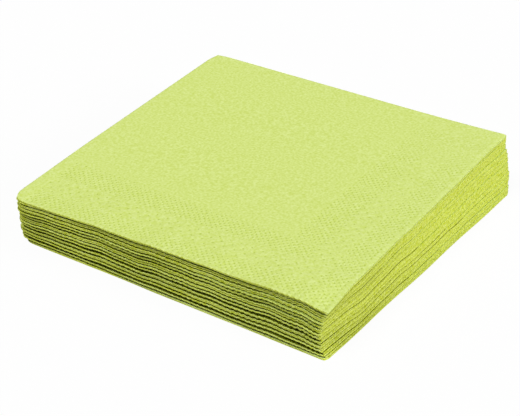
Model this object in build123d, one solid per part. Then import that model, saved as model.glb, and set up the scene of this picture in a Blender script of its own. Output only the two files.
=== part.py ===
"""Pile of paper napkins, each one square sheet folded in half twice.

Origin: middle of the pile's footprint, on the surface it lies on. +Z is up. The cut edges face the front (-Y) and
the right (+X), the first fold is at the back (+Y) and the second fold is at the left (-X). Millimetres, degrees.
"""
from build123d import *
import os
from math import atan2, cos, degrees, sin

os.makedirs("parts", exist_ok=True)

# The pile
napkin_count = 13
lean_x = -1.9            # the top napkin against the bottom one
lean_y = -3.6
twist = 1.6              # turn of the top napkin against the bottom one
stray = 0.35             # how far one napkin lies off the even lean of the pile
seat_gap = 0.05          # air between one napkin and the next

# One folded napkin
folded_width = 165.0     # second fold to cut edge, along X
folded_depth = 165.0     # first fold to cut edge, along Y
sheet_thickness = 0.24   # tissue plies pressed together
pair_gap_front = 0.08    # between the two layers that the first fold joins, at their cut edge
pair_gap_back = 0.33     # the same, where the bend begins
mouth_front = 0.91       # between the two halves that the second fold joins, at the front
mouth_back = 0.68        # the same, at the back

# Half of a napkin's thickness, measured up from the plane between its halves
half_front = mouth_front / 2 + 2 * sheet_thickness + pair_gap_front
half_back = mouth_back / 2 + 2 * sheet_thickness + pair_gap_back

# The bend of the first fold, and where the straight layers end
first_bend_radius = sheet_thickness + pair_gap_back / 2
front_y = -folded_depth / 2
bend_y = folded_depth / 2 - first_bend_radius
layer_length = bend_y - front_y

# The second fold turns round a line along Y, so far in that its outside meets the folded width
fold_axis_x = -folded_width / 2 + max(half_front, half_back)


def layer_heights(mouth, pair_gap):
    """Lower and upper faces of the two layers above the middle plane."""
    inner_low = mouth / 2
    inner_high = inner_low + sheet_thickness
    outer_low = inner_high + pair_gap
    outer_high = outer_low + sheet_thickness
    return inner_low, inner_high, outer_low, outer_high


def first_fold_section():
    """Section through the sheet after its first fold: two layers and the bend at the back."""
    front = [Vector(fold_axis_x, front_y, z) for z in layer_heights(mouth_front, pair_gap_front)]
    back = [Vector(fold_axis_x, bend_y, z) for z in layer_heights(mouth_back, pair_gap_back)]
    bend_middle = (back[0] + back[3]) / 2
    outside = ThreePointArc(back[0], bend_middle + Vector(0, first_bend_radius, 0), back[3])
    inside = ThreePointArc(back[2], bend_middle + Vector(0, pair_gap_back / 2, 0), back[1])
    outline = [
        Line(front[0], back[0]),
        outside,
        Line(back[3], front[3]),
        Line(front[3], front[2]),
        Line(front[2], back[2]),
        inside,
        Line(back[1], front[1]),
        Line(front[1], front[0]),
    ]
    return Face(Wire(outline))


def folded_napkin():
    """The folded sheet, with the plane between its halves at z = 0."""
    section = first_fold_section()
    upper_half = extrude(section, amount=folded_width / 2 - fold_axis_x, dir=(1, 0, 0))
    second_fold = revolve(section, axis=Axis((fold_axis_x, 0, 0), (0, -1, 0)), revolution_arc=180)
    lower_half = mirror(upper_half, about=Plane.XY)
    return upper_half + second_fold + lower_half


def seat(index):
    """Place of one napkin in the pile. The pile grows more at its folded back than at its front."""
    pitch_front = 2 * half_front + seat_gap
    pitch_back = 2 * half_back + seat_gap
    wedge = degrees(atan2(pitch_back - pitch_front, layer_length))
    share = index / max(napkin_count - 1, 1) - 0.5
    level = index + 0.5
    lie_x = lean_x * share + stray * sin(2.4 * index)
    lie_y = lean_y * share + stray * cos(1.7 * index)
    hinge = Location((0, front_y, level * pitch_front - seat_gap / 2))
    tilt = Location((0, 0, 0), (level * wedge, 0, 0))
    lie = Location((lie_x, lie_y - front_y, 0), (0, 0, twist * share))
    return hinge * tilt * lie


napkin = folded_napkin()
pile = [napkin.moved(seat(index)) for index in range(napkin_count)]

# The middle of the footprint goes to the origin
boxes = [piece.bounding_box() for piece in pile]
middle_x = (min(box.min.X for box in boxes) + max(box.max.X for box in boxes)) / 2
middle_y = (min(box.min.Y for box in boxes) + max(box.max.Y for box in boxes)) / 2
to_origin = Location((-middle_x, -middle_y, 0))
for number, piece in enumerate(pile, start=1):
    export_step(piece.moved(to_origin), f"parts/napkin_{number:02d}.step")
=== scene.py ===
"""Looks of a pile of paper napkins, each one square tissue sheet folded in half twice.

Every napkin is laid out flat as a mesh of its open sheet and then folded, seated and ruffled by formula.
Lengths are in millimetres until a mesh is made; Blender gets metres. The frame is the CAD part's own.
"""
import math
from types import SimpleNamespace

import bpy
import numpy as np
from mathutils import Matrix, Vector
from mathutils.geometry import delaunay_2d_cdt


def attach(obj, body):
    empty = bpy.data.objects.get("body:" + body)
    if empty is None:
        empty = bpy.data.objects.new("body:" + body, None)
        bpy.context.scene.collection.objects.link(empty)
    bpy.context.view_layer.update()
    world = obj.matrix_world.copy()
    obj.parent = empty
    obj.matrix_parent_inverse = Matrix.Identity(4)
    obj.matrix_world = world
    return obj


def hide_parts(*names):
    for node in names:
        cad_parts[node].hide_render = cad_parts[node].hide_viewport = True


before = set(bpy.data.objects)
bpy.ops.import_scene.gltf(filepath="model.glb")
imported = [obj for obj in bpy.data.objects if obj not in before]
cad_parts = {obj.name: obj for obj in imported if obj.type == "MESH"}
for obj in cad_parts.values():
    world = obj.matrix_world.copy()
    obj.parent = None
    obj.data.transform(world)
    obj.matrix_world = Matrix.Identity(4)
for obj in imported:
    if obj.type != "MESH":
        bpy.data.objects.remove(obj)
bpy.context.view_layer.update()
METRE = 0.001

# The pile and the folded napkin, as in the solids
napkin_nodes = sorted(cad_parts)
napkin_count = len(napkin_nodes)
lean_x = -1.9
lean_y = -3.6
twist = math.radians(1.6)
stray = 0.35
stray_turn_x = 2.4           # radians from one napkin to the next
stray_turn_y = 1.7
seat_gap = 0.05
folded_width = 165.0
folded_depth = 165.0
sheet_thickness = 0.24
pair_gap_front = 0.08
pair_gap_back = 0.33
mouth_front = 0.91
mouth_back = 0.68

# Worked out from those sizes
half_front = mouth_front / 2 + 2 * sheet_thickness + pair_gap_front
half_back = mouth_back / 2 + 2 * sheet_thickness + pair_gap_back
first_bend_radius = sheet_thickness + pair_gap_back / 2
front_y = -folded_depth / 2
right_x = folded_width / 2
bend_y = folded_depth / 2 - first_bend_radius
layer_length = bend_y - front_y
fold_axis_x = -right_x + max(half_front, half_back)
pitch_front = 2 * half_front + seat_gap
pitch_back = 2 * half_back + seat_gap
wedge = math.atan2(pitch_back - pitch_front, layer_length)

# Lengths of sheet that the two folds take up, from the fold line to where the sheet is straight again
first_bend_line = (sheet_thickness + pair_gap_back) / 2
first_bend_reach = first_bend_line * math.pi / 2
second_bend_line = (half_front + half_back) / 3
second_bend_reach = second_bend_line * math.pi / 2
sheet_half_x = second_bend_reach + right_x - fold_axis_x
sheet_half_y = first_bend_reach + layer_length

# The mesh of an open sheet
rim_spacing = 0.5            # between points of the cut edge
edge_rows = ((0.35, 0.5), (1.4, 1.0), (3.0, 1.5), (6.0, 3.0))  # inside it: how far in, and the spacing
grid_inset = 10.0            # the coarse grid ends so far from the cut edge
grid_count = 26              # its lines on each side of a fold
bend_count = 9               # its lines across a bend
fold_margin = 0.6            # from a bend to the line beside it
same_point = 1e-7            # points closer than this are one
on_edge = 0.01               # points closer than this to the cut edge are on it
past_fold = 0.99             # points past this part of a fold's turn are on the flat paper beside it
sharp_angle = math.radians(50)

# The embossed border of the top face
dot_pitch = 1.95             # along the diagonals
dot_radius = 0.85
dot_depth = 0.25             # less than the layer and the gap under it
dot_spread = 0.42            # one dot is shallower than another by up to this part
dot_scatter = (12.9, 78.2)   # settles which ones are
dot_fade = 0.62              # from the middle to the back the dots get shallower by this part
dot_from_cut = 1.6           # the least room from a dot's middle to the cut edges
dot_from_first = 5.0         # to the first fold's bend
dot_from_second = 6.0        # and to the second fold's
border_outer = 13.0          # how far from the cut edges the outer stripe of dots ends
border_inner = 25.0          # where the inner stripe begins
border_end = 38.5            # and where it ends
ring_count = 6               # points in a ring round a dot
ring_shares = (0.5, 1.0)     # its rings, as parts of the dot's radius
guard_gap = 1.7              # from the middles of the last dots to a row of points beside them
guard_spacing = 1.2
guard_from_cut = 1.0
clear_from_cut = 0.8         # the coarse points stay out of the border from here
clear_from_first = 2.5
clear_from_second = 5.5
clear_end = border_end + 2.5  # to here
dot_step = dot_pitch / math.sqrt(2)

# The waves that run through the whole pile
wave_lengths = (47.0, 29.0, 15.0)
wave_heights = (0.26, 0.24, 0.16)
wave_reach = 34.0            # how far in from the cut edge they run
wave_top = 0.3               # how much of them shows at the top of the pile
wave_middle = 0.8            # and halfway up, beyond that
front_wave_phase = 0.6
side_wave_phase = 2.2
side_wave_scale = 1.4        # the waves are longer and higher along the right edge

# The ripple that the embossing gives the front edges
ripple_length = 2 * dot_step
ripple_height = 0.23
ripple_lag = 0.20            # phase for each millimetre up the pile
ripple_reach = 8.0
ripple_foot = 8.0            # it is full above one part in so many of the pile's height
ripple_even = 0.7            # strength halfway along the front
ripple_tilt = 0.3            # more at the right and less at the left
ripple_change = 0.4          # it comes and goes by this part
ripple_swells = ((17.0, 0.3), (7.0, -0.2))  # over these lengths, with these phases for each millimetre up

# The loose cut edges at the front
lip = 0.35                   # the lower half of a napkin sticks out past the upper half
lip_left = 0.3               # how much of that at the second fold
lip_growth = 0.9             # and at the right, beyond that
lip_below = 3                # all of it from so many napkins under the top one
bottom_lip = 0.7             # the lowest napkin's lower half sticks out past the napkins above it
bottom_count = 4             # which come level with the others by this one
stagger = 0.12               # cut edges of the layers, one against the other
stagger_length = 11.0
layer_lag = 0.4
half_lag = 0.8
recess = 1.3                 # the napkins under the top one lie back from its edge
recess_start = 40.0          # all of it from here on, measured from the second fold
edge_reach = 25.0            # how far in the cut edges are moved
mouth_reach = 30.0           # how far in the mouths stand wider or closer
loose_mouths = {1: 0.45, 3: 0.25, 4: 0.40, napkin_count - 2: -0.20, napkin_count - 1: -0.45}
flutter_heights = (0.10, 0.08)
flutter_lengths = (9.0, 5.3)
pair_close = 0.7             # the two layers of a half close up by this part at their cut edge
pair_close_reach = 12.0

# The trimmed cut edges at the right, where the layers are pressed into one soft edge
trim_reach = 2.6
trim_spacing = 0.2340        # from one layer to the next, as a part of the pile's pitch
trim_thickness = 0.231       # of one layer, in the same measure
trim_full = 0.2495           # both, where the napkins' edges close up towards the back
trim_mouth = 0.100           # between a napkin's halves at the top and the foot of the pile
trim_round = 0.11            # how far a napkin's outer layers lie back from its middle ones
parted_full = 20.0           # how far from the front the edges are parted in full
parted_reach = 80.0          # and less and less from there
parted_ends = 0.4            # how much they stay parted at the top and the foot of the pile
parted_top = 0.4             # the top napkin's share of that
parted_step = 0.3            # and what each napkin under it has more
even_part = 0.75             # how much truer the right edges lie than the folds
even_reach = 60.0
roll_height = 0.24           # how far the top napkin's edge rolls over
roll_reach = 1.4

# The corner at the right front, where the cut edges are loose
droop_top = 1.5              # how far it hangs at the top of the pile
droop_middle = 1.7           # and halfway up, beyond that
tuck_top = -1.2              # how far it is pushed in, seen from above
tuck_middle = 3.8
tuck_back = 0.3              # and so much to the back for each part to the left
droop_reach = 13.0
droop_stretch = 2.2          # it reaches so much farther along the right edge
low_corner_round = 2.0       # the lowest napkin's corner
least_low_corner = 0.05      # and this part of it on the upper ones

# The corner at the right back
back_lift = 1.0              # how far the top lies higher there
lift_reach = 52.0
back_tips = {0: 0.2, napkin_count - 3: 0.1, napkin_count - 2: 0.0, napkin_count - 1: 0.65}
back_tip = 0.45              # how far the other napkins' corners stick out
back_tip_reach = 14.0
low_back_round = 3.5         # the lowest napkin's corner
low_back_count = 4           # sharper from one napkin to the next up to this one
least_low_back = 0.03        # and this part of it on the upper ones

# The lowest napkins' right edges
low_count = 3
low_out = 0.28               # how far the lowest one sticks out
low_wave = 0.20              # and waves in and out
low_wave_length = 60.0
low_wave_start = -63.0
low_reach = 12.0

# The corners at the second fold
fold_corner_round = 7.5      # the top napkin's at the front, seen from above
fold_corner_middle = 5.0     # halfway up the pile
fold_corner_low = 6.5        # and the lowest napkin's
fold_corner_foot = 6.0       # which goes over to the others within one part in so many of the height
fold_corner_spread = 1.2     # how far the low napkins stick out there
fold_spread_middle = 0.22    # where in the pile they do so most
fold_spread_width = 0.24
fold_tips = {0: 0.5, 1: 1.4, 2: -0.7, 3: 0.7, 4: -0.6}  # some of them more, and some less
fold_corner_reach = 40.0
fold_sag = 0.8               # how far the top sags at the fold's front end
sag_reach = 60.0
back_corner_round = 4.5      # each napkin's at the back

# Where shade is painted into the tissue's colour, near the cut edges and in the dots
PAPER, CUT_SHADE, PAINTED_SHADE, HALF_SHADE, FAINT_SHADE = range(5)  # in the materials' order: the paper's own colour, then painted shade: a deeper tint on the cut edges, deep shade between the layers, half shade, also in the deeper parts of the dots, and faint shade in the shallower parts
painted_shade_reach = 12.0            # how far in from the cut edges shade is painted between the layers
fold_view = 1.0              # the second fold is seen from outside up to so far past its bend
ledge_row = 0.40             # the strip beside a cut edge that shows where the next layer lies back
ledge_fade = 22.0            # its painted shade goes over to the paper's own colour over this length, through half shade
line_length = 60.0           # how far from the front the painted shade stays on it at the right
line_more = 70.0             # and beyond that in the lower part of the pile
line_middle = 0.30           # where in the pile that is
line_width = 0.18
line_change = 20.0           # more or less, from one napkin to the next
line_below = 3               # all of it from so many napkins under the top face
half_lip_row = 1.2           # the lower half's strip at the front that is seen inside the mouth, painted in half shade
half_lip_end = 55.0          # how far from the right it is painted in half shade
half_lip_change = 25.0       # more or less, from one napkin to the next
pale_lip_reach = 2.0         # the strip beside its cut edge keeps the paper's own colour so many times as far, and the cut edges' painted tint beyond
deep_dot = 0.5               # parts of a dot's depth past which its pit is painted in half shade, and in faint shade
faint_dot = 0.3

# The tissue's surface
tissue_roughness = 0.95
tissue_shine = 0.15
fibre_scale = 900
fibre_detail = 3
fibre_spread = (0.30, 0.70)
grain_strength = 0.25
grain_depth = 0.0002

# Stage, light and camera
floor_reach = 6.0            # metres
floor_drop = 0.0001
floor_white = 0.85
floor_glow = 0.95            # how much of its own white the camera sees; the rest shows the shadow
studio_light = 0.20          # strength of the surroundings as a light
camera_azimuth = math.radians(33.63)
camera_elevation = math.radians(31.12)
camera_target = Vector((11.20, -23.86, 20.47))
camera_distance = 726.3
camera_lens = 111.87
camera_sensor = 36


def fade(distance, reach):
    """One at an edge, falling smoothly to nothing at reach."""
    part = np.clip(1 - distance / reach, 0, 1)
    return part * part * (3 - 2 * part)


def waves(along, phase):
    """A few long waves added up."""
    total = np.zeros_like(along)
    for number, (length, height) in enumerate(zip(wave_lengths, wave_heights)):
        total += height * np.sin(2 * math.pi * along / length + phase * (number + 1) + number)
    return total


def up_in_pile(index):
    """Nothing for the lowest napkin, one for the top one."""
    return index / max(napkin_count - 1, 1)


def bend_lines(bend_reach):
    """Grid lines along one fold, and one more on each side so that the flat paper there is evenly lit."""
    beside = bend_reach + fold_margin
    return np.concatenate([[-beside], np.linspace(-bend_reach, bend_reach, bend_count), [beside]])


def side_lines(reach, spacing, bend_reach):
    """Where points lie along one side of the sheet: evenly, and close together where a fold crosses it."""
    even = np.linspace(-reach, reach, int(round(2 * reach / spacing)) + 1)
    off_fold = np.abs(even) > bend_reach + 2 * fold_margin
    return np.sort(np.concatenate([even[off_fold], bend_lines(bend_reach)]))


def edge_points(inset, spacing):
    """Points round the open sheet, a little in from its edge."""
    reach_x, reach_y = sheet_half_x - inset, sheet_half_y - inset
    along_x = side_lines(reach_x, spacing, second_bend_reach)
    along_y = side_lines(reach_y, spacing, first_bend_reach)
    sides = [
        np.stack([along_x[:-1], np.full(len(along_x) - 1, -reach_y)], 1),
        np.stack([np.full(len(along_y) - 1, reach_x), along_y[:-1]], 1),
        np.stack([along_x[:0:-1], np.full(len(along_x) - 1, reach_y)], 1),
        np.stack([np.full(len(along_y) - 1, -reach_x), along_y[:0:-1]], 1),
    ]
    return np.concatenate(sides)


def pair_up(lines_x, lines_y):
    """All crossings of two sets of lines."""
    return np.stack([part.ravel() for part in np.meshgrid(lines_x, lines_y)], 1)


def graded_lines(half, bend_reach):
    """Grid lines across one direction of the sheet, close together in its fold."""
    straight = np.linspace(bend_reach + fold_margin, half - grid_inset, grid_count + 1)[1:]
    return np.concatenate([-straight[::-1], bend_lines(bend_reach), straight])


def is_dot(first, second):
    """Whether the border has a dot at that place of the diagonal lattice."""
    x, y = (first + second) * dot_step, (first - second) * dot_step
    from_edge = np.minimum(right_x - x, y - front_y)
    in_stripe = (from_edge < border_outer) | (from_edge > border_inner)
    sparse = (first % 2 == 0) & (second % 2 == 0)
    off_folds = (x > fold_axis_x + dot_from_second) & (y < bend_y - dot_from_first)
    in_border = (from_edge > dot_from_cut) & (from_edge < border_end)
    return off_folds & in_border & (in_stripe | sparse)


def dot_middles():
    """Middles of the embossed dots, on the folded napkin's top face."""
    count = int(folded_width / dot_pitch)
    first, second = np.meshgrid(np.arange(-count, count + 1), np.arange(-count, count + 1))
    keep = is_dot(first, second)
    return np.stack([(first + second)[keep] * dot_step, (first - second)[keep] * dot_step], 1)


def pits(x, y):
    """Depth of the embossing at points of the top face."""
    first = np.round((x + y) / (2 * dot_step))
    second = np.round((x - y) / (2 * dot_step))
    distance = np.hypot(x - (first + second) * dot_step, y - (first - second) * dot_step)
    depth = dot_depth * (0.5 + 0.5 * np.cos(math.pi * np.clip(distance / dot_radius, 0, 1)))
    depth = depth * (1 - dot_fade * np.clip(-y / front_y, 0, 1))
    depth = depth * (1 - dot_spread * np.sin(dot_scatter[0] * first + dot_scatter[1] * second) ** 2)
    return np.where(is_dot(first, second), depth, 0)


def triangulated(points):
    """An open sheet: its points, and the triangles between them wound anticlockwise."""
    result = delaunay_2d_cdt([Vector(point) for point in points], [], [], 0, same_point, True)
    placed = np.array([tuple(point) for point in result[0]])
    triangles = np.array(result[2])
    a, b, c = (placed[triangles[:, i]] for i in range(3))
    turn = (b - a)[:, 0] * (c - a)[:, 1] - (b - a)[:, 1] * (c - a)[:, 0]
    triangles[turn < 0] = triangles[turn < 0][:, ::-1]
    return SimpleNamespace(points=placed, triangles=triangles)


def inner_points():
    """Points of a plain sheet inside its rim: wider and wider rows, and a coarse grid."""
    rows = [edge_points(inset, spacing) for inset, spacing in edge_rows]
    lines_x = graded_lines(sheet_half_x, second_bend_reach)
    lines_y = graded_lines(sheet_half_y, first_bend_reach)
    return np.concatenate([*rows, pair_up(lines_x, lines_y)])


def guard_points():
    """Points close together round the dotted border, so that the plain paper beside it is evenly lit."""
    inner_x = sheet_half_x - border_end - guard_gap
    inner_y = sheet_half_y - border_end - guard_gap
    fold_x = second_bend_reach + dot_from_second - guard_gap
    fold_y = first_bend_reach + dot_from_first - guard_gap
    along_inner_x = np.arange(fold_x, inner_x, guard_spacing)
    along_inner_y = np.arange(fold_y, inner_y, guard_spacing)
    along_fold_x = np.arange(inner_x, sheet_half_x - guard_from_cut, guard_spacing)
    along_fold_y = np.arange(inner_y, sheet_half_y - guard_from_cut, guard_spacing)
    return np.concatenate([
        pair_up(along_inner_x, [inner_y]),
        pair_up([inner_x], along_inner_y),
        pair_up(along_fold_x, [fold_y]),
        pair_up([fold_x], along_fold_y),
    ])


def dotted_points():
    """The same for the top napkin, with rings of points round the dots in its uppermost quarter."""
    middles = dot_middles()
    open_x = middles[:, 0] - fold_axis_x + second_bend_reach
    open_y = bend_y - middles[:, 1] + first_bend_reach
    on_open = np.stack([open_x, open_y], 1)
    turns = np.linspace(0, 2 * math.pi, ring_count + 1)[:-1]
    ring = np.stack([np.cos(turns), np.sin(turns)], 1) * dot_radius
    rings = [(on_open[:, None] + ring[None] * share).reshape(-1, 2) for share in ring_shares]
    coarse = inner_points()
    from_edge = np.minimum(sheet_half_x - coarse[:, 0], sheet_half_y - coarse[:, 1])
    off_second = coarse[:, 0] > second_bend_reach + clear_from_second
    off_first = coarse[:, 1] > first_bend_reach + clear_from_first
    in_border = off_second & off_first & (from_edge > clear_from_cut) & (from_edge < clear_end)
    return np.concatenate([coarse[~in_border], on_open, *rings, guard_points()])


def mouth_changes():
    """How much wider than in an even pile each mouth stands at the front; the rest close up for it."""
    squeeze = -sum(loose_mouths.values()) / (napkin_count - len(loose_mouths))
    return np.array([loose_mouths.get(index, squeeze) for index in range(napkin_count)])


def folded(points, skin, index):
    """Where points of an open sheet lie in its two folds. skin is 1 outside the first fold, -1 inside."""
    across, along = points[:, 0], points[:, 1]
    at = SimpleNamespace(index=index, skin=skin, up=up_in_pile(index), phase=stray_turn_x * index)
    at.level = index + 0.5
    at.below_top = napkin_count - 1 - index

    # First fold: layer runs from -1, next to the mouth, to 1, outside
    at.layer = np.clip(along / first_bend_reach, -1, 1)
    at.bend = at.layer * math.pi / 2
    run = np.maximum(np.abs(along) - first_bend_reach, 0)
    at.y = bend_y - run + (first_bend_line + skin * sheet_thickness / 2) * np.cos(at.bend)
    at.from_front = at.y - front_y
    at.back_share = np.clip(at.from_front / layer_length, 0, 1)
    at.pitch = pitch_front + (pitch_back - pitch_front) * at.back_share

    # Second fold: half runs from -1, below the mouth, to 1, above it
    at.turn = np.clip(across / second_bend_reach, -1, 1) * math.pi / 2
    at.half = np.sin(at.turn)
    at.straight = np.maximum(np.abs(across) - second_bend_reach, 0)
    at.from_right = right_x - fold_axis_x - at.straight
    return at


def loose_rise(at):
    """Height of the middle of the sheet over the plane between the halves, loose at the front."""
    mouth = mouth_front + (mouth_back - mouth_front) * at.back_share
    pair_gap = pair_gap_front + (pair_gap_back - pair_gap_front) * at.back_share
    pair_gap = pair_gap * (1 - pair_close * fade(at.from_front, pair_close_reach))
    flutter = 0
    for number, (height, length) in enumerate(zip(flutter_heights, flutter_lengths), start=1):
        flutter = flutter + height * np.sin(at.straight / length + number * at.phase)
    rise = mouth / 2 + sheet_thickness + pair_gap / 2 + (sheet_thickness + pair_gap) / 2 * np.sin(at.bend)
    return rise + fade(at.from_front, mouth_reach) * (mouth_changes()[at.index] + flutter) / 2


def stack_layers(at):
    """Sets the layers over each other, loose at the front and pressed together along the right edge."""
    rise = loose_rise(at)
    trim = fade(at.from_right, trim_reach)
    least_open = parted_ends * (2 * at.up - 1) ** 2
    open_edge = 1 - (1 - fade(at.from_front - parted_full, parted_reach)) * (1 - least_open)
    closed = 1 - open_edge * min(parted_top + parted_step * at.below_top, 1)
    spacing = at.pitch * (trim_spacing + (trim_full - trim_spacing) * closed)
    thickness = at.pitch * (trim_thickness + (trim_full - trim_thickness) * closed)
    parted = at.pitch * trim_mouth * abs(2 * at.up - 1) * (1 - closed)
    rise = rise + trim * (parted / 2 + (spacing - parted / 3) * (1 + at.layer / 2) - rise)
    thickness = sheet_thickness + trim * (thickness - parted / 3 - sheet_thickness)
    rise = rise + at.skin / 2 * np.sin(at.bend) * thickness
    set_back = trim * trim_round * (1 - closed) * (1 + at.layer) / 2
    at.x = fold_axis_x + at.straight - rise * np.cos(at.turn) - set_back
    at.z = rise * at.half


def emboss(at):
    """Presses the dots into the top layer, and rolls its right edge over."""
    on_top = (at.half > past_fold) & (at.layer > past_fold)
    at.z = at.z - np.where(on_top, pits(at.x, at.y), 0)
    at.z = at.z - roll_height * fade(at.from_right, roll_reach) * (at.half + 1) / 2


def move_front_edges(at):
    """Cut edges at the front that don't quite line up."""
    layer_phase = at.phase + layer_lag * at.layer + half_lag * at.half
    lower = (1 - at.half) / 2
    out = lip * lower * min(at.below_top / lip_below, 1)
    out = out * (lip_left + lip_growth * at.straight / folded_width)
    out = out + stagger * (np.sin(layer_phase) + np.sin(at.straight / stagger_length + layer_phase))
    out = out - bottom_lip * (max(1 - at.index / bottom_count, 0) if at.index else 1 - lower)
    back = recess * (at.level / napkin_count if at.below_top else lower)
    back = back * np.clip(at.straight / recess_start, 0, 1)
    at.y = at.y + (back - out) * fade(at.from_front, edge_reach)


def round_corner(at, corner_x, corner_y, radius):
    """Pushes a square corner of the napkin in to a round one, seen from above."""
    side_x, side_y = -math.copysign(1, corner_x), -math.copysign(1, corner_y)
    in_x = radius - (at.x - corner_x) * side_x
    in_y = radius - (at.y - corner_y) * side_y
    near = (in_x > 0) & (in_y > 0)
    scale = np.maximum(in_x, in_y) / np.maximum(np.hypot(in_x, in_y), same_point)
    at.x = np.where(near, corner_x + (radius - in_x * scale) * side_x, at.x)
    at.y = np.where(near, corner_y + (radius - in_y * scale) * side_y, at.y)


def shape_fold_corners(at):
    """The corners at the ends of the second fold."""
    radius = fold_corner_middle + (fold_corner_round - fold_corner_middle) * at.up ** 3
    radius = radius + (fold_corner_low - fold_corner_middle) * max(1 - fold_corner_foot * at.up, 0)
    round_corner(at, -right_x, front_y, radius)
    off_middle = (at.up - fold_spread_middle) / fold_spread_width
    stick_out = fold_corner_spread * math.exp(-off_middle ** 2) if at.index > 0 else 0
    stick_out = stick_out + fold_tips.get(at.index, 0)
    from_corner = np.hypot(np.maximum(at.x + right_x, 0), np.maximum(at.from_front, 0))
    at.x = at.x - stick_out * fade(from_corner, fold_corner_reach)
    round_corner(at, -right_x, -front_y, back_corner_round)


def shape_right_edge(at):
    """The corners at the ends of the right edge, and the lowest napkins' edges between them."""
    low = max(1 - at.index / low_count, 0)
    wave = low_wave * np.cos(2 * math.pi * (at.y - low_wave_start) / low_wave_length)
    at.x = at.x + low * fade(at.from_right, low_reach) * (low_out + wave)
    low_back = max(1 - at.index / low_back_count, least_low_back)
    round_corner(at, right_x, -front_y, low_back_round * low_back)
    from_tip = np.hypot(np.maximum(at.from_right, 0), np.maximum(-front_y - at.y, 0))
    at.x = at.x + back_tips.get(at.index, back_tip) * fade(from_tip, back_tip_reach)
    round_corner(at, right_x, front_y, low_corner_round * max(low, least_low_corner))


def seat(at):
    """Seats the napkin as its solid is seated, over mouths that stand wider or closer below it."""
    share = at.up - 0.5
    angle = twist * share
    tilt = at.level * wedge
    aside = stray * math.sin(at.phase) * (1 - even_part * fade(at.from_right, even_reach))
    at.lie_x = at.x * math.cos(angle) - at.y * math.sin(angle) + lean_x * share + aside
    at.lie_y = at.x * math.sin(angle) + at.y * math.cos(angle) + lean_y * share
    at.lie_y = at.lie_y + stray * math.cos(stray_turn_y * at.index) - front_y
    at.pile_y = front_y + at.lie_y * math.cos(tilt) - at.z * math.sin(tilt)
    at.pile_z = at.level * pitch_front - seat_gap / 2 + at.lie_y * math.sin(tilt) + at.z * math.cos(tilt)
    changes = mouth_changes()
    wider = changes[:at.index].sum() + changes[at.index] / 2
    at.pile_z = at.pile_z + fade(at.from_front, mouth_reach) * wider


def ruffled(at):
    """The points, with the waves and sags that the whole pile shares, from nothing at the table."""
    height = np.clip(at.pile_z / (napkin_count * at.pitch), 0, 1)
    middle = 4 * height * (1 - height)
    swell = waves(at.lie_x, front_wave_phase) * fade(at.from_front, wave_reach)
    side_swell = side_wave_scale * waves(at.lie_y / side_wave_scale, side_wave_phase)
    swell = swell + side_swell * fade(at.from_right, wave_reach)

    ripple = ripple_height * np.sin(2 * math.pi * at.lie_x / ripple_length + ripple_lag * at.pile_z)
    ripple = ripple * fade(at.from_front, ripple_reach) * np.clip(ripple_foot * height, 0, 1)
    ripple = ripple * (ripple_even + ripple_tilt * at.lie_x / right_x)
    change = ripple_change
    for length, lag in ripple_swells:
        change = change * np.sin(at.lie_x / length + lag * at.pile_z)
    ripple = ripple * (1 - ripple_change + change)

    from_corner = np.hypot(np.maximum(at.from_front, 0) / droop_stretch, np.maximum(at.from_right, 0))
    corner = fade(from_corner, droop_reach)
    sag = fold_sag * fade(np.hypot(np.maximum(at.from_front, 0), at.x + right_x), sag_reach)
    from_back_corner = np.hypot(at.from_front - folded_depth, np.maximum(at.from_right, 0))
    lift = back_lift * np.clip(1 - from_back_corner / lift_reach, 0, 1) ** 2
    z = at.pile_z + swell * (wave_top * height + wave_middle * middle) + ripple
    z = z - corner * (droop_top * height + droop_middle * middle)
    z = z + (lift - sag) * height
    tuck = corner * (tuck_middle * middle + tuck_top * height)
    return np.stack([at.lie_x - tuck, at.pile_y + tuck_back * tuck, z], 1)


def in_pile(points, skin, index, embossed=False):
    """Points of one open sheet, folded, ruffled and seated in the pile."""
    at = folded(points, skin, index)
    stack_layers(at)
    if embossed:
        emboss(at)
    move_front_edges(at)
    shape_fold_corners(at)
    shape_right_edge(at)
    seat(at)
    return ruffled(at)


def rim_triangles(count, outer_start, inner_start):
    """The cut edge between the two skins. Both skins begin with the rim's points, in order."""
    here = np.arange(count)
    there = (here + 1) % count
    first = np.stack([outer_start + here, outer_start + there, inner_start + there], 1)
    second = np.stack([outer_start + here, inner_start + there, inner_start + here], 1)
    return np.concatenate([first, second])


def line_end(index):
    """How far from the front the line of painted shade beside a napkin's right edge ends."""
    under_top = min((napkin_count - index) / line_below, 1)
    off_middle = (up_in_pile(index) - line_middle) / line_width
    change = line_change * math.sin(stray_turn_x * index)
    return line_length * under_top + line_more * math.exp(-off_middle ** 2) + change


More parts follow.
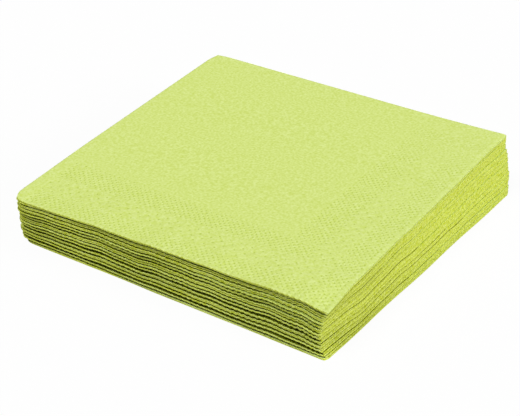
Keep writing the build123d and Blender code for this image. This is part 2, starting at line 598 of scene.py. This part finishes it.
def skin_slots(sheet, skin, index):
    """Material slots of one skin's triangles: painted shade between the layers near the cut edges and in
    the dots, the paper's own colour in view.
    """
    across, along = sheet.points[sheet.triangles].mean(1).T
    from_side = sheet_half_x - np.abs(across)
    from_end = sheet_half_y - np.abs(along)
    from_cut = np.minimum(from_side, from_end)
    outside = skin > 0

    # The folds, and the faces at the top and the foot of the pile
    at_first_fold = np.abs(along) < first_bend_reach + painted_shade_reach
    at_second_fold = (along > 0) & (np.abs(across) < second_bend_reach + fold_view)
    on_top = (along > 0) & (across > 0) & (index == napkin_count - 1)
    at_foot = (along > 0) & (across < 0) & (index == 0)
    in_view = outside & (at_first_fold | at_second_fold | on_top | at_foot)
    near_first_fold = (from_cut < painted_shade_reach) & (np.abs(along) < first_bend_reach + painted_shade_reach + ledge_fade)

    # The strip beside the right edge
    on_ledge = outside & (from_side < ledge_row)
    past_line = from_end - line_end(index)

    # The strip of the lower half that is seen in the mouth
    in_mouth = outside & (along < 0) & (across < 0)
    on_lip = in_mouth & (from_end < (ledge_row if index else 2 * bottom_lip + ledge_row))
    half_end = half_lip_end + half_lip_change * math.sin(stray_turn_x * index)
    half_lip = in_mouth & (from_end < half_lip_row) & (from_side < half_end) & (index > napkin_count / 2)

    # The dots
    x = across + fold_axis_x - second_bend_reach
    y = bend_y + first_bend_reach - along
    depth = np.where(outside & on_top, pits(x, y) / dot_depth, 0)

    # Deep shade painted between the layers near the cut edges, then half shade, the cut edges' tint and the
    # paper's own colour over it
    slots = np.where(from_cut < painted_shade_reach, PAINTED_SHADE, PAPER)
    slots[half_lip] = HALF_SHADE
    slots[on_lip] = CUT_SHADE
    slots[near_first_fold | (on_ledge & (past_line > -ledge_fade))] = HALF_SHADE
    slots[on_lip & (from_side < pale_lip_reach * half_end)] = PAPER
    slots[in_view | (on_ledge & (past_line > 0))] = PAPER
    # Half and faint shade painted in the embossed pits, darker in the deeper parts of the dots
    slots[depth > faint_dot] = FAINT_SHADE
    slots[depth > deep_dot] = HALF_SHADE
    return slots


def napkin_object(name, index, sheet, rim, to_origin, embossed, materials):
    """One napkin as a closed sheet with two skins and a cut edge, in metres."""
    outer = in_pile(sheet.points, 1, index, embossed)
    inner = in_pile(sheet.points, -1, index, embossed)
    edge = rim_triangles(len(rim), 0, len(outer))
    faces = np.concatenate([sheet.triangles[:, ::-1], sheet.triangles + len(outer), edge])
    vertices = (np.concatenate([outer, inner]) + to_origin) * METRE
    mesh = bpy.data.meshes.new(name)
    mesh.from_pydata(vertices.tolist(), [], faces.tolist())
    for material in materials:
        mesh.materials.append(material)
    # The cut edges get a deeper painted tint for light that bounces between the layers; the top napkin's
    # right edge keeps the paper's own colour
    on_top_right = embossed & (rim[:, 0] > sheet_half_x - on_edge)
    edge_slots = np.where(np.concatenate([on_top_right, on_top_right]), PAPER, CUT_SHADE)
    slots = np.concatenate([skin_slots(sheet, 1, index), skin_slots(sheet, -1, index), edge_slots])
    mesh.polygons.foreach_set("material_index", slots.astype(np.int32))
    mesh.shade_smooth()
    mesh.set_sharp_from_angle(angle=sharp_angle)
    piece = bpy.data.objects.new(name, mesh)
    bpy.context.scene.collection.objects.link(piece)
    return piece


def tissue(name, dark, light):
    """Soft matt tissue: pressed fibres between two shades, and a slight grain."""
    material = bpy.data.materials.new(name)
    material.use_nodes = True
    nodes, links = material.node_tree.nodes, material.node_tree.links
    shader = nodes["Principled BSDF"]
    shader.inputs["Roughness"].default_value = tissue_roughness
    shader.inputs["Specular IOR Level"].default_value = tissue_shine
    place = nodes.new("ShaderNodeTexCoord")
    fibre = nodes.new("ShaderNodeTexNoise")
    fibre.inputs["Scale"].default_value = fibre_scale
    fibre.inputs["Detail"].default_value = fibre_detail
    links.new(place.outputs["Object"], fibre.inputs["Vector"])
    colour = nodes.new("ShaderNodeValToRGB")
    for stop, position, shade in zip(colour.color_ramp.elements, fibre_spread, (dark, light)):
        stop.position = position
        stop.color = (*shade, 1)
    links.new(fibre.outputs["Fac"], colour.inputs["Fac"])
    links.new(colour.outputs["Color"], shader.inputs["Base Color"])
    bump = nodes.new("ShaderNodeBump")
    bump.inputs["Strength"].default_value = grain_strength
    bump.inputs["Distance"].default_value = grain_depth
    links.new(fibre.outputs["Fac"], bump.inputs["Height"])
    links.new(bump.outputs["Normal"], shader.inputs["Normal"])
    return material


def white_rays(nodes, links):
    """One for the rays that see the background as white: from the camera, reflected or passed through."""
    ray = nodes.new("ShaderNodeLightPath")
    total = ray.outputs["Is Camera Ray"]
    for kind in ("Is Glossy Ray", "Is Transmission Ray"):
        either = nodes.new("ShaderNodeMath")
        either.operation = "MAXIMUM"
        links.new(total, either.inputs[0])
        links.new(ray.outputs[kind], either.inputs[1])
        total = either.outputs[0]
    return total


def white_card():
    """The floor's material: white to the camera apart from the shadow, plain white card to the light."""
    card = bpy.data.materials.new("floor_white")
    card.use_nodes = True
    nodes, links = card.node_tree.nodes, card.node_tree.links
    shader = nodes["Principled BSDF"]
    shader.inputs["Base Color"].default_value = (floor_white, floor_white, floor_white, 1)
    shader.inputs["Roughness"].default_value = 0.9
    shader.inputs["Specular IOR Level"].default_value = 0.1
    glow = nodes.new("ShaderNodeEmission")
    mix = nodes.new("ShaderNodeMixShader")
    seen = nodes.new("ShaderNodeMath")
    seen.operation = "MULTIPLY"
    seen.inputs[1].default_value = floor_glow
    links.new(white_rays(nodes, links), seen.inputs[0])
    links.new(seen.outputs[0], mix.inputs[0])
    links.new(shader.outputs[0], mix.inputs[1])
    links.new(glow.outputs[0], mix.inputs[2])
    links.new(mix.outputs[0], nodes["Material Output"].inputs["Surface"])
    return card


def sun(name, toward, strength, spread):
    """A soft distant lamp that shines from the direction given."""
    lamp = bpy.data.lights.new(name, "SUN")
    lamp.energy = strength
    lamp.angle = math.radians(spread)
    holder = bpy.data.objects.new(name, lamp)
    holder.rotation_euler = Vector(toward).to_track_quat("Z", "Y").to_euler()
    bpy.context.scene.collection.objects.link(holder)


# The napkins
rim = edge_points(0, rim_spacing)
plain_sheet = triangulated(np.concatenate([rim, inner_points()]))
dotted_sheet = triangulated(np.concatenate([rim, dotted_points()]))
ends = [in_pile(plain_sheet.points, 1, index) for index in range(napkin_count)]
lowest = np.min([points.min(0) for points in ends], 0)
highest = np.max([points.max(0) for points in ends], 0)
to_origin = np.array([-(lowest[0] + highest[0]) / 2, -(lowest[1] + highest[1]) / 2, 0])
materials = (
    tissue("napkin_tissue", (0.585, 0.705, 0.140), (0.715, 0.825, 0.300)),
    # a deeper tint painted on the cut edges, for light tinted between the layers
    tissue("napkin_cut_edge_shaded", (0.520, 0.600, 0.010), (0.742, 0.820, 0.196)),
    # deep painted shade between the layers
    tissue("napkin_painted_shade_between_layers", (0.170, 0.200, 0.006), (0.220, 0.255, 0.011)),
    # half painted shade: in the deeper parts of the dots, in the mouths and beside the deep shade
    tissue("napkin_painted_half_shade", (0.436, 0.554, 0.068), (0.537, 0.645, 0.142)),
    # faint painted shade, in the shallower parts of the dots
    tissue("napkin_painted_faint_shade", (0.512, 0.631, 0.104), (0.626, 0.736, 0.221)),
)
for index, node in enumerate(napkin_nodes):
    on_top = index == napkin_count - 1
    sheet = dotted_sheet if on_top else plain_sheet
    piece = napkin_object(f"folded_{node}", index, sheet, rim, to_origin, on_top, materials)
    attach(piece, "root")
    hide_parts(node)

# The floor
floor_mesh = bpy.data.meshes.new("floor")
corners = [(-floor_reach, -floor_reach, 0), (floor_reach, -floor_reach, 0)]
corners += [(floor_reach, floor_reach, 0), (-floor_reach, floor_reach, 0)]
floor_mesh.from_pydata(corners, [], [(0, 1, 2, 3)])
floor_mesh.materials.append(white_card())
floor = bpy.data.objects.new("floor", floor_mesh)
floor.location.z = -floor_drop
bpy.context.scene.collection.objects.link(floor)

# Light: an even white studio, a soft lamp low at the right and one from above the front
world = bpy.data.worlds.new("studio")
bpy.context.scene.world = world
world.use_nodes = True
nodes, links = world.node_tree.nodes, world.node_tree.links
background = nodes["Background"]
background.inputs["Color"].default_value = (1, 1, 1, 1)
level = nodes.new("ShaderNodeMath")
level.operation = "MULTIPLY_ADD"
level.inputs[1].default_value = 1 - studio_light
level.inputs[2].default_value = studio_light
links.new(white_rays(nodes, links), level.inputs[0])
links.new(level.outputs[0], background.inputs["Strength"])
sun("key", (0.88, 0.06, 0.47), 1.62, 20)
sun("fill", (-0.12, -0.46, 0.88), 1.98, 25)

# Camera at the photograph's viewpoint
back = Vector((
    math.sin(camera_azimuth) * math.cos(camera_elevation),
    -math.cos(camera_azimuth) * math.cos(camera_elevation),
    math.sin(camera_elevation),
))
lens = bpy.data.cameras.new("camera")
lens.sensor_fit = "HORIZONTAL"
lens.sensor_width = camera_sensor
lens.lens = camera_lens
lens.clip_start = 0.01
camera = bpy.data.objects.new("camera", lens)
camera.location = (camera_target + back * camera_distance) * METRE
camera.rotation_euler = back.to_track_quat("Z", "Y").to_euler()
bpy.context.scene.collection.objects.link(camera)
bpy.context.scene.camera = camera
bpy.context.scene.view_settings.view_transform = "Standard"
